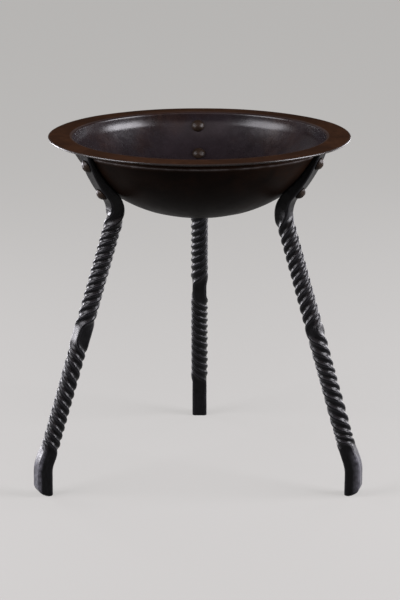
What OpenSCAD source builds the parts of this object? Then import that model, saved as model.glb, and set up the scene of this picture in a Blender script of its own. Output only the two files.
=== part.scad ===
// Three-legged hand-forged fire bowl: a flanged sheet pan riveted to three twisted square bars.
// Origin on the floor, on the pan's vertical axis. +Z is up, the rear leg points along +Y.

/* [Pan] */
// Outer radius of the flange
rim_r = 157.5; // [150:0.5:165]
// Height of the flange's top face above the floor
rim_h = 363; // [355:1:375]
// Thickness of the sheet
sheet_t = 2; // [1.5:0.1:2.5]
// Radius at which the flange turns down into the neck
neck_r = 131.2; // [130:0.1:132]
// Radius of the bend between flange and neck, on its upper side
neck_bend_r = 3.4; // [2.8:0.1:4]
// Depth below the flange's top at which the neck meets the pan, on the inside
neck_h = 10.4; // [9:0.1:12]
// Radius of the arc that the pan's outer wall follows
pan_arc_r = 139.7; // [138:0.1:142]
// Height of that arc's centre above the flange's top face
pan_arc_dz = 56.2; // [55:0.1:58]
// Radius of the small flat at the bottom of the pan
pan_flat_r = 11.5; // [10:0.5:13]

/* [Legs] */
// Side of the square bar
bar_w = 16; // [15:0.5:17]
// Corner chamfer of the bar
bar_chamfer = 1.6; // [1:0.1:2]
// Width of the flattened tab that carries the rivets
tab_w = 18; // [17:0.5:19]
// Thickness of the tab at its tip
tab_tip_t = 4; // [3:0.5:5]
// Corner chamfer of the tab
tab_chamfer = 0.8; // [0.5:0.1:1]
// Thickness the tab gains per degree along the wall
tab_taper = 0.333; // [0.3:0.001:0.36]
// Sideways swing of the tab's tip round the pan, left and right leg, in degrees
front_tab_swing = 3.8; // [0:0.1:5]
// Sideways swing of the tab's tip round the pan, rear leg, in degrees
rear_tab_swing = 0.9; // [0:0.1:5]
// Radius of the bend below the tab, on the bar's centreline
bend_r = 27; // [26:0.5:30]
// Splay of the bar from vertical, in degrees
splay = 18.2; // [17:0.1:19]
// Distance that the left foot stands out beyond the leg's pattern line
left_spread = 1.5; // [-2:0.1:2]
// Distance that the right foot stands out beyond the leg's pattern line
right_spread = -1.2; // [-2:0.1:2]

/* [Feet] */
// Height at which the bar starts its outward kick
kick_h = 55; // [52:1:58]
// Angle of the kicked stretch from vertical, in degrees
kick_angle = 23; // [20:0.5:25]
// Height at which the foot starts to turn down
ankle_h = 38; // [36:1:42]
// Radius of the bend that turns the foot down
ankle_r = 36; // [30:1:38]
// Side of the bar at the foot, where it has been forged a little thicker
foot_w = 16.6; // [16:0.1:17]
// Slope of the cut that clears the outer part of the sole, in degrees
toe_angle = 37; // [25:1:40]
// Distance from the bar's centreline inwards to where that cut starts
toe_start = 2; // [1:0.5:3]
// Turn of the left foot about its own axis, in degrees
left_foot_turn = -7; // [-15:1:15]
// Turn of the right foot about its own axis, in degrees
right_foot_turn = 15; // [-15:1:15]

/* [Rivets] */
// Diameter of the rivet's shank
shank_d = 8; // [6:0.5:9]
// Diameter of the rivet's head
head_d = 14; // [12:0.5:15]
// Height of the rivet's domed head
head_h = 4.5; // [3.5:0.1:5]
// Place of the upper rivets on the pan's arc, in degrees below horizontal
upper_rivet_phi = 31.1; // [30.5:0.1:32]
// Place of the lower rivets on the pan's arc, in degrees below horizontal
lower_rivet_phi = 45.3; // [44:0.1:45.5]

/* [Hidden] */
$fn = 96;

// Radial clearance between shank and hole, and gap between seated faces
hole_gap = 0.05;
// Length of the cylinder that cuts a rivet hole, half of it on each side of the pan's wall
hole_l = 48;
seat_gap = 0.1;
// The flat underside of a head inside the curved wall clears the wall at its edge
dome_gap = 0.3;
// Depth below the flange's top at which the tab begins, and the angle at which it leaves the wall
tab_top_h = 3.6;
tab_end_phi = 48;
// Heights between which the tab swings sideways
swing_from_h = rim_h - 77;
swing_to_h = rim_h - tab_top_h;
// Radius of the slight bend where the foot kicks outward
kick_bend_r = 60;
// Twisted stretch along the bar, from just above the end of the bend, and the distance between its rings
twist_from = -12;
twist_to = 250.5;
ring_step = 1.5;
// Half the length over which a change of twist is eased
ease_l = 4;

pan_c = [pan_flat_r, rim_h + pan_arc_dz];
pan_in_r = pan_arc_r - sheet_t;
azimuth_left = 210;
azimuth_right = 330;
azimuth_rear = 90;
sheet_colour = [0.13, 0.12, 0.13];
bar_colour = [0.10, 0.10, 0.11];
rivet_colour = [0.20, 0.18, 0.17];

// A point on an arc about the pan's arc centre, phi degrees below horizontal, as [radius, height]
function on_pan(phi, rho) = pan_c + rho * [cos(phi), -sin(phi)];
// The angle at which that arc reaches depth h below the flange
function pan_phi(h, rho) = asin((h + pan_arc_dz) / rho);

// ---- Pan ----

// Half section of the sheet, from the centre along the inside to the rim and back outside
neck_c = [neck_r + neck_bend_r, rim_h - neck_bend_r];
bend_in_phi = pan_phi(neck_h, pan_in_r);
bend_out_phi = pan_phi(neck_h + 0.6 * sheet_t, pan_arc_r);
arc_steps = 24;
edge_r = 0.6;
inner_line = concat(
    [[0, pan_c[1] - pan_in_r]],
    [for (i = [0:arc_steps]) on_pan(90 + (bend_in_phi - 90) * i / arc_steps, pan_in_r)],
    [for (a = [180:-15:90]) neck_c + neck_bend_r * [cos(a), sin(a)]]);
rim_line = [
    [rim_r - edge_r, rim_h], [rim_r, rim_h - edge_r],
    [rim_r, rim_h - sheet_t + edge_r], [rim_r - edge_r, rim_h - sheet_t]];
outer_line = concat(
    [for (a = [90:15:180]) neck_c + (neck_bend_r - sheet_t) * [cos(a), sin(a)]],
    [on_pan(bend_out_phi, pan_arc_r) + [0.3, 1.4 * sheet_t]],
    [for (i = [0:arc_steps]) on_pan(bend_out_phi + (90 - bend_out_phi) * i / arc_steps, pan_arc_r)],
    [[0, pan_c[1] - pan_arc_r]]);

module bowl() {
    color(sheet_colour) difference() {
        rotate_extrude() polygon(concat(inner_line, rim_line, outer_line));
        for (leg = LEGS, phi = [upper_rivet_phi, lower_rivet_phi]) at_rivet(leg, phi) rivet_hole();
    }
}

// ---- Legs ----

// Quarter turns of each bar at distances from the end of its bend: twisted right-handed, left plain
// for a short stretch, and twisted back left-handed, by hand and so never quite evenly
LEFT_TWIST = [[-9, 0], [6, -0.8], [54, -6.8], [88, -10.8], [110, -12.8], [115, -13], [131, -13],
    [136, -12.8], [154, -10.8], [177, -8.8], [205, -5.8], [240, -1.8], [246, -1 + left_foot_turn / 90]];
RIGHT_TWIST = [[-8, 0], [0, -0.2], [12, -1.2], [49, -5.2], [84, -9.2], [105, -11.2], [113, -12],
    [122, -12], [132, -11.2], [155, -9.2], [171, -7.2], [191, -5.2], [226, -2.2],
    [239, -0.2], [241, right_foot_turn / 90]];
REAR_TWIST = [[-8, 0], [47, -5.5], [81, -9.5], [99, -11.5], [110, -12.5], [117, -13], [137, -13],
    [145, -12.5], [170, -9.5], [195, -6.5], [224, -3.5], [243, -1.5], [248, -1]];

// Each leg is [azimuth, tab swing, foot turn, foot spread, twist]
LEFT = [azimuth_left, front_tab_swing, left_foot_turn, left_spread, LEFT_TWIST];
RIGHT = [azimuth_right, front_tab_swing, right_foot_turn, right_spread, RIGHT_TWIST];
REAR = [azimuth_rear, rear_tab_swing, 0, 0, REAR_TWIST];
LEGS = [LEFT, RIGHT, REAR];

// How far the tab has swung round the pan at height z
function swing_at(leg, z) =
    leg[1] * min(1, max(0, (z - swing_from_h) / (swing_to_h - swing_from_h)));

// A step of length l along a straight, and along an arc of radius r, from a point [radius, height]
function go_straight(p, ang, l) = p + l * [sin(ang), -cos(ang)];
function go_round(p, from, to, r) =
    p + r * sign(to - from) * [cos(from) - cos(to), sin(from) - sin(to)];

tab_top_phi = pan_phi(tab_top_h, pan_arc_r);
function tab_t(phi) = tab_tip_t + tab_taper * (phi - tab_top_phi);
bend_p = on_pan(tab_end_phi, pan_arc_r + seat_gap + tab_t(tab_end_phi) / 2);
bar_p = go_round(bend_p, -tab_end_phi, splay, bend_r);
bar_l = (bar_p[1] - kick_h) / cos(splay);
kick_p = go_straight(bar_p, splay, bar_l);
shin_p = go_round(kick_p, splay, kick_angle, kick_bend_r);
shin_l = (shin_p[1] - ankle_h) / cos(kick_angle);
ankle_p = go_straight(shin_p, kick_angle, shin_l);
foot_p = go_round(ankle_p, kick_angle, 0, ankle_r);
bend_l = bend_r * (splay + tab_end_phi) * PI / 180;
kick_l = kick_bend_r * (kick_angle - splay) * PI / 180;

// Point and direction of the bar, [radius, height, angle], at distance s from the end of its bend
function along(s) =
    s < 0 ? let (a = splay + s / bend_r * 180 / PI)
        concat(go_round(bend_p, -tab_end_phi, a, bend_r), a) :
    s < bar_l ? concat(go_straight(bar_p, splay, s), splay) :
    s < bar_l + kick_l ? let (a = splay + (s - bar_l) / kick_bend_r * 180 / PI)
        concat(go_round(kick_p, splay, a, kick_bend_r), a) :
    concat(go_straight(shin_p, kick_angle, s - bar_l - kick_l), kick_angle);

// Twist of the bar at distance s, in degrees, averaged over the easing length
eases = [-1, -0.5, 0, 0.5, 1];
function turned(leg, s) =
    90 * [for (e = eases) lookup(s + e * ease_l, leg[4])] * [for (e = eases) 1 / len(eases)];

// A station is [radius, height, path angle, thickness, width, chamfer, twist]
tab_stations = [for (i = [0:8])
    let (phi = tab_top_phi + (tab_end_phi - tab_top_phi) * i / 8, t = tab_t(phi),
         p = on_pan(phi, pan_arc_r + seat_gap + t / 2))
    [p[0], p[1], -phi, t, tab_w, tab_chamfer, 0]];
// The bar grows from the tab's size to its own along the first part of the bend, and to the foot's
// size below the kick
function bar_station(leg, s) =
    let (p = along(s), t0 = tab_t(tab_end_phi), f = min(1, 1.8 * (1 + s / bend_l)),
         w = bar_w + (foot_w - bar_w) * min(1, max(0, (s - bar_l) / (kick_l + shin_l))))
    concat(p, [t0 + (w - t0) * f, tab_w + (w - tab_w) * f,
        tab_chamfer + (bar_chamfer - tab_chamfer) * f, turned(leg, s)]);
function bar_stations(leg) = concat(
    [for (s = [2 * ring_step - bend_l:2 * ring_step:twist_from - ring_step]) bar_station(leg, s)],
    [for (s = [twist_from:ring_step:twist_to]) bar_station(leg, s)]);
function foot_station(leg, p, ang) = [p[0], p[1], ang, foot_w, foot_w, bar_chamfer, turned(leg, twist_to)];
function foot_stations(leg) = concat(
    [for (i = [0:6]) let (a = kick_angle * (1 - i / 6))
        foot_station(leg, go_round(ankle_p, kick_angle, a, ankle_r), a)],
    [foot_station(leg, [foot_p[0], 0], 0)]);

// The eight corners of a chamfered rectangle, anticlockwise
function corners(t, w, c) = let (x = t / 2, y = w / 2)
    [[x, y - c], [x - c, y], [c - x, y], [-x, y - c], [-x, c - y], [c - x, -y], [x - c, -y], [x, c - y]];
// One ring of the bar's surface in space
function ring(st, leg) =
    let (turn = leg[0] + swing_at(leg, st[1]), out = leg[3] * max(0, 1 - st[1] / bar_p[1]))
    [for (q = corners(st[3], st[4], st[5]))
        let (x = q[0] * cos(st[6]) - q[1] * sin(st[6]), y = q[0] * sin(st[6]) + q[1] * cos(st[6]),
             r = st[0] + out + x * cos(st[2]), z = st[1] + x * sin(st[2]))
        [r * cos(turn) - y * sin(turn), r * sin(turn) + y * cos(turn), z]];

module swept_bar(leg) {
    stations = concat(tab_stations, bar_stations(leg), foot_stations(leg));
    rings = [for (st = stations) ring(st, leg)];
    n = len(rings);
    points = [for (q = rings, p = q) p];
    sides = [for (i = [0:n - 2], j = [0:7]) let (k = (j + 1) % 8)
        each [[8 * i + j, 8 * i + k, 8 * i + 8 + k], [8 * i + j, 8 * i + 8 + k, 8 * i + 8 + j]]];
    caps = [[for (j = [7:-1:0]) j], [for (j = [0:7]) 8 * (n - 1) + j]];
    polyhedron(points, concat(sides, caps), convexity = 10);
}

// The sole is cut away towards the outside, which leaves a flat under the bar's inner part
module toe_cut(leg) {
    rotate([0, 0, leg[0]]) translate([foot_p[0] + leg[3], 0, 0]) rotate([0, 0, leg[2]])
        translate([-toe_start, 0, 0]) rotate([0, -toe_angle, 0])
            translate([0, -bar_w, -bar_w]) cube([3 * bar_w, 2 * bar_w, bar_w]);
}

module leg_bar(leg) {
    color(bar_colour) difference() {
        swept_bar(leg);
        for (phi = [upper_rivet_phi, lower_rivet_phi]) at_rivet(leg, phi) rivet_hole();
        toe_cut(leg);
    }
}

module leg_left() { leg_bar(LEFT); }
module leg_right() { leg_bar(RIGHT); }
module leg_rear() { leg_bar(REAR); }

// ---- Rivets ----

// Puts +Z along the wall's outward normal, with z = 0 on the pan's outer surface
module at_rivet(leg, phi) {
    p = on_pan(phi, pan_arc_r);
    rotate([0, 0, leg[0] + swing_at(leg, p[1])]) translate([p[0], 0, p[1]])
        rotate([0, 90 + phi, 0]) children();
}

module rivet_hole() {
    translate([0, 0, -hole_l / 2]) cylinder(d = shank_d + 2 * hole_gap, h = hole_l);
}

// A domed head on z = 0, rising to head_h
dome_r = (pow(head_d / 2, 2) + pow(head_h, 2)) / (2 * head_h);
module dome() {
    intersection() {
        translate([0, 0, head_h - dome_r]) sphere(r = dome_r);
        cylinder(d = 1.1 * head_d, h = head_h);
    }
}

// The tab's outer face leans by this angle against the wall
face_lean = atan(tab_taper / (pan_arc_r * PI / 180));
module rivet(leg, phi) {
    grip = tab_t(phi) + seat_gap;
    color(rivet_colour) at_rivet(leg, phi) union() {
        translate([0, 0, -sheet_t - dome_gap]) cylinder(d = shank_d, h = grip + sheet_t + 2 * dome_gap);
        translate([0, 0, -sheet_t - dome_gap]) mirror([0, 0, 1]) dome();
        translate([0, 0, grip + seat_gap]) rotate([0, -face_lean, 0]) dome();
    }
}

module rivet_left_upper() { rivet(LEFT, upper_rivet_phi); }
module rivet_left_lower() { rivet(LEFT, lower_rivet_phi); }
module rivet_right_upper() { rivet(RIGHT, upper_rivet_phi); }
module rivet_right_lower() { rivet(RIGHT, lower_rivet_phi); }
module rivet_rear_upper() { rivet(REAR, upper_rivet_phi); }
module rivet_rear_lower() { rivet(REAR, lower_rivet_phi); }

bowl();
leg_left();
leg_right();
leg_rear();
rivet_left_upper();
rivet_left_lower();
rivet_right_upper();
rivet_right_lower();
rivet_rear_upper();
rivet_rear_lower();
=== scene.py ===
"""A three-legged hand-forged fire bowl: visual model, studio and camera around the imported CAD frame.

Shapes are worked out in millimetres, with the origin on the floor under the middle of the pan and the
rear leg along +Y, and become metres when a mesh is made. Angles are in degrees.
"""
import math
import random

import bpy
import numpy as np
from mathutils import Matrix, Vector, noise


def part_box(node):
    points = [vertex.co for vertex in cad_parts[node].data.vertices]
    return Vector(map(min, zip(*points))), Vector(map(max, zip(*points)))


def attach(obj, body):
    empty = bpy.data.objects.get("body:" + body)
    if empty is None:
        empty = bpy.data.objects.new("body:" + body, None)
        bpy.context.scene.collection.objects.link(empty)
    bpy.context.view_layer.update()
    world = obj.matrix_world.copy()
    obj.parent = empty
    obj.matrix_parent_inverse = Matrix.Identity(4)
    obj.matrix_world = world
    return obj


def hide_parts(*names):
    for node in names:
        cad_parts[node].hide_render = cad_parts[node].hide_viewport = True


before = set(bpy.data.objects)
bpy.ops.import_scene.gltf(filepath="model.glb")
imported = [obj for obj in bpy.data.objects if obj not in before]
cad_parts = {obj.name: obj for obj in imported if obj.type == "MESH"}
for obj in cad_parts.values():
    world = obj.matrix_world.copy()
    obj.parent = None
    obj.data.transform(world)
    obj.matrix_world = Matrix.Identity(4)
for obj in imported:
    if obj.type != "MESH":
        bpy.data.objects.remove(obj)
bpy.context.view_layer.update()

MM = 0.001

# ---- Pan ----

PAN_LOW, PAN_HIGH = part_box("bowl")
RIM_R = PAN_HIGH.x / MM
RIM_H = PAN_HIGH.z / MM
SHEET_T = 2.0
NECK_R = 132.2
NECK_BEND_R = 2.6
NECK_H = 9.6
CREASE_PHI = 31.0
PAN_ARC_R = 139.7
PAN_ARC_DZ = 56.2
PAN_FLAT_R = 11.5
PAN_TURNS = 384
RIM_EDGE_R = 0.9
KNEE_RISE = 1.6
# Hand work on the pan, as depths and widths: dents and dimples in the wall, dips in the flange, and how far
# the rim wanders from a true circle. The wall's bottom stays smooth, and so does each tab's seat.
WALL_DENT, WALL_DENT_W, WALL_DIMPLE_W = 0.45, 34, 15
FLANGE_DIP, FLANGE_DIP_W = 0.55, 70
RIM_WANDER, RIM_WANDER_W = 0.4, 60
SMOOTH_BOTTOM_R, DENTED_R = 15, 60
SEAT_SMOOTH_DEG, SEAT_DENTED_DEG = 9, 20

# ---- Legs ----

BAR_W = 16.0
BAR_CHAMFER = 1.9
FOOT_CHAMFER = 1.4
TAB_W = 18.0
TAB_CHAMFER = 0.9
TAB_TIP_T = 4.0
TAB_TAPER = 0.333
TAB_TOP_H = 3.6
TAB_END = 48.0
BEND_R = 27.0
SPLAY = 18.2
KICK_H = 55.0
KICK = 23.0
KICK_BEND_R = 60.0
ANKLE_H = 38.0
ANKLE_R = 36.0
FOOT_W = 16.6
SWING_FROM_H = RIM_H - 77
SWING_TO_H = RIM_H - TAB_TOP_H
EASE_L = 4.0
# Rates of twist, in degrees a millimetre, between which the bar swells and its corners are dressed down
TIGHT_FROM, TIGHT_TO = 3, 10
TIGHT_SWELL = 0.5
TIGHT_CHAMFER = 1.0
# Distances along the bar between which it takes on the foot's corners
FOOT_FROM_S, FOOT_TO_S = 242, 256
TAB_ROWS = 60
BAR_STEP = 0.75
# Depth of the hammer dents and how wide they are
BROAD_DENT, BROAD_DENT_W = 0.30, 9
FINE_DENT, FINE_DENT_W = 0.14, 3.5
# Wear of the bar's corners, and of the feet's outer faces, which low down are painted lighter as rubbed
# steel and as a painted highlight
RIDGE_WEAR = 0.16
RUB_AND_HIGHLIGHT = 0.9
RUB_AND_HIGHLIGHT_FROM_X, RUB_AND_HIGHLIGHT_TO_X = 4.8, 7.2
RUB_AND_HIGHLIGHT_FULL_H, RUB_AND_HIGHLIGHT_NONE_H = 34, 52
# The sole, by distance outwards from the foot's middle: a gentle rise, then the curled-up toe
SOLE_TOP = 20.0
SOLE_RISE_X, SOLE_SLOPE = -2.0, 0.52
TOE_X, TOE_L, TOE_RISE, TOE_POWER = 3.4, 4.9, 4.6, 2.4

# Quarter turns of each bar at distances from the end of its bend: twisted right-handed, left plain for a
# short stretch, and twisted back left-handed, by hand and so never quite evenly
TWISTS = {
    "left": ((-9, 0), (6, -0.8), (54, -6.8), (88, -10.8), (110, -12.8), (115, -13), (131, -13),
             (136, -12.8), (154, -10.8), (177, -8.8), (205, -5.8), (240, -1.8), (246, -1.08)),
    "right": ((-8, 0), (0, -0.2), (12, -1.2), (49, -5.2), (84, -9.2), (105, -11.2), (113, -12),
              (122, -12), (132, -11.2), (155, -9.2), (171, -7.2), (191, -5.2), (226, -2.2),
              (239, -0.2), (241, 0.17)),
    "rear": ((-8, 0), (47, -5.5), (81, -9.5), (99, -11.5), (110, -12.5), (117, -13), (137, -13),
             (145, -12.5), (170, -9.5), (195, -6.5), (224, -3.5), (243, -1.5), (248, -1)),
}
# Azimuth, swing of the tab's tip round the pan, and how far the foot stands out
LEGS = {"left": (210.0, 3.8, 1.4), "right": (330.0, 3.8, -1.2), "rear": (90.0, 0.9, 0.0)}

# ---- Rivets ----

SHANK_D = 8.0
HEAD_D = 14.0
HEAD_H = 4.5
RIVET_PHI = {"upper": 31.1, "lower": 45.3}
SEAT_GAP = 0.1
DOME_GAP = 0.3
RIVET_COLS = 48
HEAD_ROWS = 16
HAMMER_BLOWS = 11


# ---- Small helpers ----

def sind(a):
    return np.sin(np.radians(a))


def cosd(a):
    return np.cos(np.radians(a))


def smooth(x, low, high):
    """0 below low, 1 above high, and a smooth step between them."""
    t = np.clip((np.asarray(x, float) - low) / (high - low), 0, 1)
    return t * t * (3 - 2 * t)


def circle(r, z, count):
    """A ring of count points at height z about the Z axis."""
    angles = np.arange(count) * 360.0 / count
    return np.stack([r * cosd(angles), r * sind(angles), np.full(count, float(z))], 1)


def noise_at(points, scale, seed):
    """Smooth noise from 0 to 1 at points in millimetres, with features about scale wide."""
    shift = Vector((seed * 7.31, seed * 3.17, seed * 5.93))
    return np.array([0.5 + 0.5 * noise.noise(Vector(p) / scale + shift) for p in points])


def grid_faces(rows, cols):
    """Quads between consecutive closed rings of cols points."""
    return [
        (i * cols + j, i * cols + (j + 1) % cols, (i + 1) * cols + (j + 1) % cols, (i + 1) * cols + j)
        for i in range(rows - 1)
        for j in range(cols)
    ]


def make_piece(name, rings, material, node, slot, **values):
    """A solid from closed rings of points, which the last and the first ring cap, in place of a CAD node.

    The values are numbers or vectors at the points, which the material reads by name.
    """
    cols = len(rings[0])
    faces = grid_faces(len(rings), cols)
    faces.append(tuple(range(cols - 1, -1, -1)))
    faces.append(tuple((len(rings) - 1) * cols + j for j in range(cols)))
    mesh = bpy.data.meshes.new(name)
    mesh.from_pydata([tuple(v) for v in np.concatenate(rings) * MM], [], faces)
    for key, value in values.items():
        value = np.asarray(value, np.float32)
        kind, field = ("FLOAT", "value") if value.ndim == 1 else ("FLOAT_VECTOR", "vector")
        mesh.attributes.new(key, kind, "POINT").data.foreach_set(field, value.ravel())
    mesh.validate()
    mesh.update()
    mesh.materials.append(material)
    for polygon in mesh.polygons:
        polygon.use_smooth = True
    piece = bpy.data.objects.new(name, mesh)
    bpy.context.scene.collection.objects.link(piece)
    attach(piece, "root")
    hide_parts(node)
    return piece


def on_pan(phi, rho):
    """A point about the pan's arc centre, phi degrees below horizontal, as (radius, height)."""
    return np.array([PAN_FLAT_R + rho * cosd(phi), RIM_H + PAN_ARC_DZ - rho * sind(phi)])


def pan_phi(depth, rho):
    """The angle at which that arc reaches a depth below the flange."""
    return math.degrees(math.asin((depth + PAN_ARC_DZ) / rho))


def tab_t(phi):
    return TAB_TIP_T + TAB_TAPER * (phi - pan_phi(TAB_TOP_H, PAN_ARC_R))


def swing_at(side, z):
    """How far a tab has swung round the pan at height z."""
    return LEGS[side][1] * np.clip((z - SWING_FROM_H) / (SWING_TO_H - SWING_FROM_H), 0, 1)


# ---- Materials ----

# Each pair of colours is the dark and the light end of a ramp
PAN_INSIDE = ((0.0026, 0.0019, 0.0023), (0.0064, 0.0049, 0.0058))
# Outside: soot, whose brown tint is a painted reflection of a brown floor
PAN_OUTSIDE_SOOT_AND_REFLECTION = ((0.0013, 0.0008, 0.0006), (0.0034, 0.0019, 0.0013))
PAN_STAIN = ((0.0044, 0.0016, 0.0007), (0.0115, 0.0046, 0.0020))
# Flange: brown patina with a painted reflection of a brown wall in it
FLANGE_PATINA_AND_REFLECTION = ((0.0072, 0.0030, 0.0014), (0.0158, 0.0070, 0.0034))
FLANGE_CLOUD = (0.0048, 0.0023, 0.0013)
# Lighter steel painted along the knee below the neck as a highlight
KNEE_HIGHLIGHT_STEEL = (0.058, 0.053, 0.052)
EDGE_STEEL = (0.0050, 0.0036, 0.0030)
INSIDE_SPECULAR, OUTSIDE_SPECULAR = 0.118, 0.012
WORN_SPECULAR = 0.065
# The flange keeps only this share of its shine, so its painted brown stands in for what it would reflect
FLANGE_SPECULAR_SHARE = 0.02


def wire(tree, source, target):
    tree.links.new(source, target)


def add_node(tree, kind, **values):
    made = tree.nodes.new(kind)
    for key, value in values.items():
        made.inputs[key.replace("_", " ")].default_value = value
    return made


def noise_node(tree, place, scale, detail=5.0, rough=0.6):
    made = add_node(tree, "ShaderNodeTexNoise", Scale=scale, Detail=detail, Roughness=rough)
    wire(tree, place, made.inputs["Vector"])
    return made.outputs["Fac"]


def ramp_node(tree, fac, *stops):
    """A colour ramp through (position, colour) stops."""
    made = tree.nodes.new("ShaderNodeValToRGB")
    elements = made.color_ramp.elements
    while len(elements) < len(stops):
        elements.new(0.5)
    for element, (position, colour) in zip(elements, stops):
        element.position = position
        element.color = (*colour, 1)
    wire(tree, fac, made.inputs["Fac"])
    return made.outputs["Color"]


def range_node(tree, value, low, high, to_low, to_high):
    made = add_node(tree, "ShaderNodeMapRange", From_Min=low, From_Max=high, To_Min=to_low, To_Max=to_high)
    wire(tree, value, made.inputs["Value"])
    return made.outputs["Result"]


def math_node(tree, operation, a, b):
    made = tree.nodes.new("ShaderNodeMath")
    made.operation = operation
    for socket, value in zip(made.inputs, (a, b)):
        if isinstance(value, (int, float)):
            socket.default_value = value
        else:
            wire(tree, value, socket)
    return made.outputs["Value"]


def mix_node(tree, fac, a, b):
    made = tree.nodes.new("ShaderNodeMix")
    made.data_type = "RGBA"
    wire(tree, fac, made.inputs["Factor"])
    colour_a, colour_b = made.inputs[6], made.inputs[7]
    for socket, value in ((colour_a, a), (colour_b, b)):
        if isinstance(value, tuple):
            socket.default_value = (*value, 1)
        else:
            wire(tree, value, socket)
    return made.outputs[2]


def bump_node(tree, height, distance, normal=None):
    made = add_node(tree, "ShaderNodeBump", Strength=1.0, Distance=distance * MM)
    wire(tree, height, made.inputs["Height"])
    if normal is not None:
        wire(tree, normal, made.inputs["Normal"])
    return made.outputs["Normal"]


def start_material(name):
    material = bpy.data.materials.new(name)
    material.use_nodes = True
    tree = material.node_tree
    shader = tree.nodes["Principled BSDF"]
    place = tree.nodes.new("ShaderNodeTexCoord").outputs["Object"]
    return material, tree, shader, place


def attribute_node(tree, name, output="Fac"):
    made = tree.nodes.new("ShaderNodeAttribute")
    made.attribute_name = name
    return made.outputs[output]


def sheet_material():
    """Oil-blackened sheet: purplish grey in the pan, matt brown on the flange as patina and a painted
    reflection, soot-black outside with a painted brown reflection, a painted highlight on the knee, bare
    edges.
    """
    material, tree, shader, place = start_material("oil_blackened_sheet")
    split = tree.nodes.new("ShaderNodeSeparateXYZ")
    wire(tree, place, split.inputs["Vector"])
    x, y = split.outputs["X"], split.outputs["Y"]
    square = math_node(tree, "ADD", math_node(tree, "MULTIPLY", x, x), math_node(tree, "MULTIPLY", y, y))
    radius = math_node(tree, "SQRT", square, 0)
    on_flange = range_node(tree, radius, (NECK_R - 0.4) * MM, (NECK_R + 3.0) * MM, 0, 1)
    at_edge = range_node(tree, radius, (RIM_R - 1.6) * MM, (RIM_R - 0.4) * MM, 0, 1)
    mottle = noise_node(tree, place, 26.0, 7.0, 0.62)
    spots = noise_node(tree, place, 140.0, 6.0, 0.65)
    patchy = range_node(tree, noise_node(tree, place, 55.0, 5.0, 0.7), 0.42, 0.62, 0.25, 1.0)
    dark = ramp_node(tree, mottle, (0.30, PAN_INSIDE[0]), (0.70, PAN_INSIDE[1]))
    # Soot outside, tinted brown as a painted reflection of a brown floor
    soot_and_reflection = ramp_node(tree, mottle, (0.30, PAN_OUTSIDE_SOOT_AND_REFLECTION[0]), (0.70, PAN_OUTSIDE_SOOT_AND_REFLECTION[1]))
    stain = ramp_node(tree, spots, (0.30, PAN_STAIN[0]), (0.75, PAN_STAIN[1]))
    # The flange's brown: patina, together with a painted reflection of a brown wall
    patina_and_reflection_brown = ramp_node(tree, spots, (0.30, FLANGE_PATINA_AND_REFLECTION[0]), (0.75, FLANGE_PATINA_AND_REFLECTION[1]))
    clouds = range_node(tree, noise_node(tree, place, 17.0, 5.0, 0.6), 0.38, 0.66, 0.0, 0.75)
    flange = mix_node(tree, clouds, patina_and_reflection_brown, FLANGE_CLOUD)
    patches = range_node(tree, noise_node(tree, place, 9.0, 6.0, 0.7), 0.52, 0.72, 0.0, 0.55)
    outer = attribute_node(tree, "outer")
    ridge = math_node(tree, "MULTIPLY", attribute_node(tree, "ridge"), patchy)
    colour = mix_node(tree, patches, mix_node(tree, outer, dark, soot_and_reflection), stain)
    colour = mix_node(tree, on_flange, colour, flange)
    # A painted highlight: lighter steel along the knee below the neck
    colour = mix_node(tree, ridge, colour, KNEE_HIGHLIGHT_STEEL)
    wire(tree, mix_node(tree, at_edge, colour, EDGE_STEEL), shader.inputs["Base Color"])
    brightened = math_node(tree, "MULTIPLY", math_node(tree, "MAXIMUM", ridge, at_edge), WORN_SPECULAR)
    level = math_node(tree, "ADD", range_node(tree, outer, 0, 1, INSIDE_SPECULAR, OUTSIDE_SPECULAR), brightened)
    # The flange's shine is cut to a small share, and its painted brown stands in for the reflection
    inside_edge = math_node(tree, "SUBTRACT", on_flange, at_edge)
    share = range_node(tree, inside_edge, 0, 1, 1, FLANGE_SPECULAR_SHARE)
    wire(tree, math_node(tree, "MULTIPLY", level, share), shader.inputs["Specular IOR Level"])
    satin = range_node(tree, spots, 0.3, 0.75, 0.23, 0.32)
    duller = math_node(tree, "ADD", math_node(tree, "MULTIPLY", outer, 0.14),
                       math_node(tree, "MULTIPLY", inside_edge, 0.15))
    wire(tree, math_node(tree, "ADD", satin, duller), shader.inputs["Roughness"])
    waves = bump_node(tree, noise_node(tree, place, 60.0, 3.0, 0.5), 0.10)
    skin = bump_node(tree, noise_node(tree, place, 620.0, 3.0, 0.55), 0.012, waves)
    wire(tree, skin, shader.inputs["Normal"])
    return material


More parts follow.
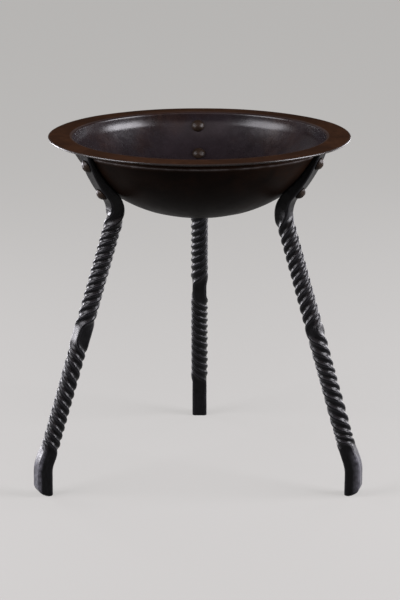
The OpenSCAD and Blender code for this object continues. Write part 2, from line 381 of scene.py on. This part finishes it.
def bar_material(name, specular, dark, light, bare, rough):
    """Black forge scale, lighter where it has worn, and on the feet's outer faces also as a painted
    highlight, with the dents and the drawn grain of hammered bar.
    """
    material, tree, shader, place = start_material(name)
    shader.inputs["Specular IOR Level"].default_value = specular
    mottle = noise_node(tree, place, 70.0, 7.0, 0.65)
    grain = noise_node(tree, attribute_node(tree, "grain", "Vector"), 1.0, 4.0, 0.6)
    scale = ramp_node(tree, mottle, (0.35, dark), (0.72, light))
    patchy = range_node(tree, noise_node(tree, place, 210.0, 5.0, 0.7), 0.36, 0.64, 0.25, 1.0)
    # Wear on the corners, and on the feet rubbed steel with a painted highlight, lighten the scale
    wear = math_node(tree, "MULTIPLY", attribute_node(tree, "wear"), patchy)
    drawn = range_node(tree, grain, 0.40, 0.62, 0.0, 0.025)
    brightened = math_node(tree, "MAXIMUM", wear, drawn)
    wire(tree, mix_node(tree, brightened, scale, bare), shader.inputs["Base Color"])
    scaled = range_node(tree, noise_node(tree, place, 330.0, 5.0, 0.65), 0.3, 0.7, rough[0], rough[1])
    wire(tree, scaled, shader.inputs["Roughness"])
    dents = bump_node(tree, noise_node(tree, place, 150.0, 3.0, 0.5), 0.15)
    drawn_lines = bump_node(tree, grain, 0.15, dents)
    pits = bump_node(tree, noise_node(tree, place, 900.0, 3.0, 0.55), 0.010, drawn_lines)
    wire(tree, pits, shader.inputs["Normal"])
    return material


SHEET = sheet_material()
BAR = bar_material("forged_black_bar", 0.09, (0.0002, 0.0002, 0.0003), (0.0008, 0.0008, 0.0010),
                   (0.050, 0.050, 0.058), (0.27, 0.38))
RIVET = bar_material("hammered_rivet_steel", 0.07, (0.0030, 0.0019, 0.0012), (0.0100, 0.0060, 0.0038),
                     (0.030, 0.020, 0.014), (0.34, 0.46))


# ---- Pan ----

def corner_curve(low, phi, high, steps):
    """Points of a smooth curve up from the pan's arc at angle phi to where the neck stands upright."""
    rise = (high[0] - low[0]) / math.tan(math.radians(phi))
    corner = np.array([high[0], low[1] + rise])
    shares = np.linspace(0, 1, steps + 1)[1:]
    return [low * (1 - t) ** 2 + 2 * corner * t * (1 - t) + high * t * t for t in shares]


def pan_section():
    """Half section of the sheet, from the middle up the inside, over the rim and back down outside.

    With it come two values for each point: whether it is outside, and the painted highlight on the ridge
    below the neck.
    """
    inner_r = PAN_ARC_R - SHEET_T
    bend_c = np.array([NECK_R + NECK_BEND_R, RIM_H - NECK_BEND_R])
    inside = [on_pan(p, inner_r) for p in np.linspace(89.9, CREASE_PHI, 90)]
    inside += corner_curve(inside[-1], CREASE_PHI, bend_c - (NECK_BEND_R, 0), 12)
    inside += [bend_c + NECK_BEND_R * np.array([cosd(a), sind(a)]) for a in np.linspace(180, 90, 9)[1:]]
    flat = np.linspace(NECK_R + NECK_BEND_R + 1.5, RIM_R - RIM_EDGE_R, 12)
    top = [np.array([r, RIM_H]) for r in flat]
    tip_c = np.array([RIM_R - RIM_EDGE_R, RIM_H - SHEET_T / 2])
    tip = [tip_c + np.array([RIM_EDGE_R * cosd(a), SHEET_T / 2 * sind(a)]) for a in np.linspace(78, -78, 9)]
    under = [np.array([r, RIM_H - SHEET_T]) for r in flat[::-1]]
    turn = np.linspace(90, 180, 5)
    outside = [bend_c + (NECK_BEND_R - SHEET_T) * np.array([cosd(a), sind(a)]) for a in turn]
    knee_phi = pan_phi(NECK_H + SHEET_T, PAN_ARC_R)
    knee = on_pan(knee_phi, PAN_ARC_R)
    above = np.array([outside[-1][0], knee[1] + KNEE_RISE])
    outside += [outside[-1] + (above - outside[-1]) * t for t in (0.3, 0.6, 0.85)]
    outside += corner_curve(knee, knee_phi, above, 7)[::-1] + [knee]
    outside += [on_pan(p, PAN_ARC_R) for p in np.linspace(knee_phi, 89.9, 90)[1:]]
    first = len(inside + top + tip)
    # The knee below the neck carries a painted highlight
    brightened = first + len(under) + 8
    outer = np.zeros(first + len(under + outside))
    outer[first:] = 1
    ridge = np.zeros(len(outer))
    ridge[brightened:brightened + 8] = (0.2, 0.5, 0.9, 1, 1, 0.8, 0.5, 0.2)
    return np.array(inside + top + tip + under + outside), outer, ridge


def near_tab(points):
    """1 beside a tab's seat on the pan, 0 well away from it."""
    azimuth = np.degrees(np.arctan2(points[:, 1], points[:, 0]))
    away = np.full(len(points), 180.0)
    for leg, _, _ in LEGS.values():
        away = np.minimum(away, np.abs((azimuth - leg + 180) % 360 - 180))
    return 1 - smooth(away, SEAT_SMOOTH_DEG, SEAT_DENTED_DEG)


def make_pan():
    section, outer, ridge = pan_section()
    rings = []
    for r, z in section:
        ring = circle(r, z, PAN_TURNS)
        flat = ring * (1, 1, 0)
        free = (1 - near_tab(ring)) * smooth(r, SMOOTH_BOTTOM_R, DENTED_R)
        dent = WALL_DENT * free * (noise_at(flat, WALL_DENT_W, 1) + 0.5 * noise_at(flat, WALL_DIMPLE_W, 2))
        dip = FLANGE_DIP * noise_at(flat, FLANGE_DIP_W, 3) * smooth(r, NECK_R, RIM_R)
        wall = 1 - smooth(r, NECK_R - 4, NECK_R + 2)
        inwards = dent * wall + RIM_WANDER * noise_at(flat, RIM_WANDER_W, 4) * (1 - wall)
        ring[:, :2] *= (1 - inwards / max(r, 1))[:, None]
        ring[:, 2] += dent * wall * 0.6 - dip
        rings.append(ring)
    return make_piece("pan_sheet", rings, SHEET, "bowl", "sheet_steel",
                      outer=np.repeat(outer, PAN_TURNS), ridge=np.repeat(ridge, PAN_TURNS))


# ---- Legs ----

def go_straight(p, ang, length):
    return p + length * np.array([sind(ang), -cosd(ang)])


def go_round(p, start, end, radius):
    turn = np.sign(end - start)
    return p + radius * turn * np.array([cosd(start) - cosd(end), sind(start) - sind(end)])


BEND_P = on_pan(TAB_END, PAN_ARC_R + SEAT_GAP + tab_t(TAB_END) / 2)
BAR_P = go_round(BEND_P, -TAB_END, SPLAY, BEND_R)
BEND_L = math.radians(BEND_R * (SPLAY + TAB_END))
BAR_L = (BAR_P[1] - KICK_H) / cosd(SPLAY)
KICK_P = go_straight(BAR_P, SPLAY, BAR_L)
KICK_L = math.radians(KICK_BEND_R * (KICK - SPLAY))
SHIN_P = go_round(KICK_P, SPLAY, KICK, KICK_BEND_R)
SHIN_L = (SHIN_P[1] - ANKLE_H) / cosd(KICK)
ANKLE_P = go_straight(SHIN_P, KICK, SHIN_L)
ANKLE_L = math.radians(ANKLE_R * KICK)
FOOT_P = go_round(ANKLE_P, KICK, 0, ANKLE_R)


def along(s):
    """Point (radius, height) and direction of the bar at distance s from the end of its bend."""
    if s < 0:
        ang = SPLAY + math.degrees(s / BEND_R)
        return go_round(BEND_P, -TAB_END, ang, BEND_R), ang
    if s < BAR_L:
        return go_straight(BAR_P, SPLAY, s), SPLAY
    s -= BAR_L
    if s < KICK_L:
        ang = SPLAY + math.degrees(s / KICK_BEND_R)
        return go_round(KICK_P, SPLAY, ang, KICK_BEND_R), ang
    s -= KICK_L
    if s < SHIN_L:
        return go_straight(SHIN_P, KICK, s), KICK
    s -= SHIN_L
    if s < ANKLE_L:
        ang = KICK - math.degrees(s / ANKLE_R)
        return go_round(ANKLE_P, KICK, ang, ANKLE_R), ang
    return go_straight(FOOT_P, 0, s - ANKLE_L), 0.0


def turned(side, s):
    """Twist of the bar at distance s, averaged over the easing length."""
    marks = np.array(TWISTS[side])
    near = s + EASE_L * np.linspace(-1, 1, 9)
    return 90 * float(np.mean(np.interp(near, marks[:, 0], marks[:, 1])))


def twist_rate(side, s):
    return abs(turned(side, s + 1) - turned(side, s - 1)) / 2


def chamfered_section(t, w, chamfer, edge):
    """A chamfered rectangle with softened edges: its points, how far round it each one is, and how much its
    corners are worn.
    """
    hx, hy = t / 2, w / 2
    corners = np.array([(hx, chamfer - hy), (hx, hy - chamfer), (hx - chamfer, hy), (chamfer - hx, hy),
                        (-hx, hy - chamfer), (-hx, chamfer - hy), (chamfer - hx, -hy), (hx - chamfer, -hy)])
    points, brightened = [], []
    for k, corner in enumerate(corners):
        before, after = corners[k - 1], corners[(k + 1) % 8]
        start = corner + (before - corner) * min(0.4, edge / np.linalg.norm(before - corner))
        end = corner + (after - corner) * min(0.4, edge / np.linalg.norm(after - corner))
        reach = after + (corner - after) * min(0.4, edge / np.linalg.norm(after - corner))
        for f, share in ((0, 0.35), (0.33, 1), (0.67, 1), (1, 0.35)):
            points.append(start * (1 - f) ** 2 + 2 * corner * f * (1 - f) + end * f * f)
            brightened.append(share)
        for f in (0.2, 0.5, 0.8):
            points.append(end + (reach - end) * f)
            brightened.append(0.0)
    points = np.array(points)
    around = np.concatenate([[0], np.cumsum(np.linalg.norm(np.diff(points, axis=0), axis=1))])
    return points, around, np.array(brightened)


def leg_stations(side):
    """Cross-sections from the tab's tip to the sole.

    Each is a point, a direction, and the thickness, width, chamfer, edge and twist there. Where the bar is
    tightly twisted its corners have been dressed down.
    """
    rows = []
    tip = pan_phi(TAB_TOP_H, PAN_ARC_R)
    for phi in np.concatenate([[tip, tip + 0.15, tip + 0.4], np.linspace(tip + 0.9, TAB_END, TAB_ROWS)]):
        t = tab_t(phi)
        inset = 0.8 * (1 - smooth(phi, tip - 0.2, tip + 0.5))
        point = on_pan(phi, PAN_ARC_R + SEAT_GAP + t / 2)
        rows.append((point, -phi, t - 2 * inset, TAB_W - 2 * inset, TAB_CHAMFER, 0.4, 0.0))
    tab_end_t = tab_t(TAB_END)
    total = BAR_L + KICK_L + SHIN_L + ANKLE_L + FOOT_P[1]
    steps = np.arange(0.6 - BEND_L, total - 0.9, BAR_STEP)
    for s in np.concatenate([steps, total - np.array([0.8, 0.4, 0.15, 0])]):
        point, ang = along(s)
        grown = min(1, 1.8 * (1 + s / BEND_L))
        tight = smooth(twist_rate(side, s), TIGHT_FROM, TIGHT_TO)
        size = BAR_W + (FOOT_W - BAR_W) * smooth(s, BAR_L, BAR_L + KICK_L + SHIN_L) + TIGHT_SWELL * tight
        inset = 0.7 * smooth(s, total - 0.9, total)
        t = tab_end_t + (size - tab_end_t) * grown - 2 * inset
        w = TAB_W + (size - TAB_W) * grown - 2 * inset
        chamfer = TAB_CHAMFER + (BAR_CHAMFER - TAB_CHAMFER) * grown
        chamfer += (FOOT_CHAMFER - BAR_CHAMFER) * smooth(s, FOOT_FROM_S, FOOT_TO_S)
        chamfer += TIGHT_CHAMFER * tight
        rows.append((point, ang, t, w, chamfer, 0.45 + 1.0 * tight, turned(side, s)))
    return rows


def leg_ring(side, point, ang, section, twist):
    azimuth, _, spread = LEGS[side]
    x = section[:, 0] * cosd(twist) - section[:, 1] * sind(twist)
    y = section[:, 0] * sind(twist) + section[:, 1] * cosd(twist)
    out = spread * max(0, 1 - point[1] / BAR_P[1])
    turn = azimuth + swing_at(side, point[1])
    r, z = point[0] + out + x * cosd(ang), point[1] + x * sind(ang)
    return np.stack([r * cosd(turn) - y * sind(turn), r * sind(turn) + y * cosd(turn), z], 1)


def sole_height(x):
    """Height of the rounded sole at a distance outwards from the foot's middle."""
    rise = SOLE_SLOPE * np.clip(x - SOLE_RISE_X, 0, None)
    return rise + TOE_RISE * np.clip((x - TOE_X) / TOE_L, 0, None) ** TOE_POWER


def cut_sole(side, ring):
    """Presses the bottom of the foot up to the sole, which rises towards the toe."""
    azimuth, _, spread = LEGS[side]
    turn = azimuth + 90 * (TWISTS[side][-1][1] - round(TWISTS[side][-1][1]))
    middle = (FOOT_P[0] + spread) * np.array([cosd(azimuth), sind(azimuth)])
    x = (ring[:, :2] - middle) @ np.array([cosd(turn), sind(turn)])
    share = np.clip(1 - ring[:, 2] / SOLE_TOP, 0, 1)
    ring[:, 2] += sole_height(x) * share
    return ring


def make_leg(side):
    seed = 10 + list(LEGS).index(side)
    rings, wear, grain = [], [], []
    for row, (point, ang, t, w, chamfer, edge, twist) in enumerate(leg_stations(side)):
        section, around, ridge = chamfered_section(t, w, chamfer, edge)
        ring = leg_ring(side, point, ang, section, twist)
        middle = ring.mean(0)
        dent = BROAD_DENT * noise_at(ring, BROAD_DENT_W, seed)
        dent += FINE_DENT * noise_at(ring, FINE_DENT_W, seed + 1)
        reach = np.linalg.norm(ring - middle, axis=1, keepdims=True)
        ring = middle + (ring - middle) * (1 - dent[:, None] / reach)
        rings.append(cut_sole(side, ring) if point[1] < SOLE_TOP else ring)
        # Low down, the feet's outer faces are painted lighter: rubbed steel, and a painted highlight
        outward = section[:, 0] * cosd(twist) - section[:, 1] * sind(twist)
        low = 1 - smooth(point[1], RUB_AND_HIGHLIGHT_FULL_H, RUB_AND_HIGHLIGHT_NONE_H)
        rub_and_highlight = RUB_AND_HIGHLIGHT * smooth(outward, RUB_AND_HIGHLIGHT_FROM_X, RUB_AND_HIGHLIGHT_TO_X) * low
        wear.append(np.maximum(RIDGE_WEAR * ridge, rub_and_highlight))
        grain.append(np.stack([around * 0.9, np.full(len(ring), row * 0.08), np.full(len(ring), seed)], 1))
    last = rings[-1]
    middle = last.mean(0)
    for share in (0.75, 0.45, 0.15):
        ring = middle + (last - middle) * share
        ring[:, 2] = 0
        rings.append(cut_sole(side, ring))
        wear.append(np.zeros(len(ring)))
        grain.append(grain[-1])
    rings, wear, grain = ([ring[::-1] for ring in each] for each in (rings, wear, grain))
    return make_piece(f"leg_{side}_bar", rings, BAR, f"leg_{side}", "forged_bar",
                      wear=np.concatenate(wear), grain=np.concatenate(grain))


# ---- Rivets ----

DOME_R = ((HEAD_D / 2) ** 2 + HEAD_H ** 2) / (2 * HEAD_H)


def dome_height(r):
    return math.sqrt(DOME_R ** 2 - r ** 2) - (DOME_R - HEAD_H)


def hammer(points, rng):
    """Flattens points of a dome that stands on z = 0 by a few blows, which only ever take height away."""
    middle = np.array([0, 0, HEAD_H - DOME_R])
    arm = points - middle
    reach = np.linalg.norm(arm, axis=1)
    limit = reach.copy()
    for _ in range(HAMMER_BLOWS):
        lean, turn = rng.uniform(8, 50), rng.uniform(0, 360)
        blow = np.array([sind(lean) * cosd(turn), sind(lean) * sind(turn), cosd(lean)])
        face = arm @ blow / reach
        allowed = DOME_R * rng.uniform(0.955, 0.985) / np.maximum(face, 0.5)
        limit = np.where(face > 0.5, np.minimum(limit, allowed), limit)
    struck = middle + arm * (limit / reach)[:, None]
    struck[:, 2] = np.maximum(struck[:, 2], np.minimum(points[:, 2], 0.05))
    return struck


def head_rings(seed):
    """Rings of a hammered head that stands on z = 0, from its rim to its crown."""
    radii = HEAD_D / 2 * np.linspace(1, 0.02, HEAD_ROWS)
    return [hammer(circle(r, dome_height(r), RIVET_COLS), random.Random(seed)) for r in radii]


def make_rivet(side, place):
    phi = RIVET_PHI[place]
    seed = 100 * list(LEGS).index(side) + (1 if place == "upper" else 2)
    grip = tab_t(phi) + 2 * SEAT_GAP
    lean = math.degrees(math.atan(TAB_TAPER / math.radians(PAN_ARC_R)))
    shank = circle(SHANK_D / 2, 0, RIVET_COLS)
    inner = [ring * (1, 1, -1) - (0, 0, SHEET_T + DOME_GAP) for ring in head_rings(seed)][::-1]
    tilt = np.array([[cosd(lean), 0, sind(lean)], [0, 1, 0], [-sind(lean), 0, cosd(lean)]])
    outer = [ring @ tilt + (0, 0, grip) for ring in head_rings(seed + 50)]
    rings = inner + [shank - (0, 0, SHEET_T + DOME_GAP), shank + (0, 0, grip)] + outer
    out = np.array([cosd(phi), 0, -sind(phi)])
    down = np.array([-sind(phi), 0, -cosd(phi)])
    basis = np.stack([down, np.cross(out, down), out])
    seat = on_pan(phi, PAN_ARC_R)
    turn = LEGS[side][0] + swing_at(side, seat[1])
    spin = np.array([[cosd(turn), sind(turn), 0], [-sind(turn), cosd(turn), 0], [0, 0, 1]])
    rings = [(ring @ basis + (seat[0], 0, seat[1])) @ spin for ring in rings]
    return make_piece(f"rivet_{side}_{place}_steel", rings, RIVET, f"rivet_{side}_{place}", "rivet_steel")


make_pan()
for leg_name in LEGS:
    make_leg(leg_name)
    for rivet_place in RIVET_PHI:
        make_rivet(leg_name, rivet_place)


# ---- Studio ----

FLOOR_SIZE = 14.0
FLOOR_COLOUR = (0.035, 0.034, 0.033, 1)
FLOOR_GLOW = (1, 0.985, 0.965, 1)
FLOOR_GLOW_STRENGTH = 0.46
WORLD_COLOUR = (0.62, 0.34, 0.21, 1)
WORLD_STRENGTH = 0.15
COOL = (0.96, 0.94, 1)
ROSY = (1, 0.86, 0.88)
CAMERA_PLACE = (0.0006, -2.3826, 0.8122)
CAMERA_TILT = 0.2575
CAMERA_LENS = 139.5
CAMERA_SENSOR = 36


def make_floor():
    """A pale floor that glows a little, so that it stays pale and even and its shadows soft at any angle."""
    h = FLOOR_SIZE / 2
    mesh = bpy.data.meshes.new("floor")
    mesh.from_pydata([(-h, -h, 0), (h, -h, 0), (h, h, 0), (-h, h, 0)], [], [(0, 1, 2, 3)])
    floor = bpy.data.objects.new("floor", mesh)
    bpy.context.scene.collection.objects.link(floor)
    material, _, shader, _ = start_material("pale_floor")
    shader.inputs["Specular IOR Level"].default_value = 0.1
    shader.inputs["Base Color"].default_value = FLOOR_COLOUR
    shader.inputs["Roughness"].default_value = 0.9
    shader.inputs["Emission Color"].default_value = FLOOR_GLOW
    shader.inputs["Emission Strength"].default_value = FLOOR_GLOW_STRENGTH
    mesh.materials.append(material)


def softbox(name, place, width, height, radiance, colour):
    """A rectangular light aimed at the pan, as bright as its radiance whatever its size."""
    data = bpy.data.lights.new(name, "AREA")
    data.shape = "RECTANGLE"
    data.size, data.size_y = width, height
    data.energy = radiance * math.pi * width * height
    data.color = colour
    light = bpy.data.objects.new(name, data)
    light.location = place
    aim = Vector((0, 0, RIM_H * MM)) - Vector(place)
    light.rotation_euler = aim.to_track_quat("-Z", "Y").to_euler()
    bpy.context.scene.collection.objects.link(light)


def make_lights():
    softbox("right_softbox", (1.18, -0.22, 0.76), 0.85, 0.7, 47, COOL)
    softbox("left_softbox", (-1.12, -0.42, 0.84), 0.95, 0.9, 27, COOL)
    softbox("right_rear_softbox", (1.0, 1.0, 0.22), 0.9, 0.4, 9, COOL)
    softbox("left_rear_softbox", (-1.06, 0.72, 0.22), 0.75, 0.4, 24, COOL)
    softbox("rear_fill", (-0.7, 2.4, 1.9), 4.6, 1.8, 0.45, COOL)
    softbox("front_fill", (0, -2.4, 2.4), 3.6, 2.6, 2.1, ROSY)
    world = bpy.data.worlds.new("studio")
    world.use_nodes = True
    background = world.node_tree.nodes["Background"]
    background.inputs["Color"].default_value = WORLD_COLOUR
    background.inputs["Strength"].default_value = WORLD_STRENGTH
    bpy.context.scene.world = world


def make_camera():
    data = bpy.data.cameras.new("camera")
    data.sensor_width = CAMERA_SENSOR
    data.lens = CAMERA_LENS
    camera = bpy.data.objects.new("camera", data)
    camera.location = CAMERA_PLACE
    camera.rotation_euler = (math.pi / 2 - CAMERA_TILT, 0, 0)
    bpy.context.scene.collection.objects.link(camera)
    bpy.context.scene.camera = camera


make_floor()
make_lights()
make_camera()
bpy.context.scene.view_settings.view_transform = "Standard"

bpy.context.view_layer.update()
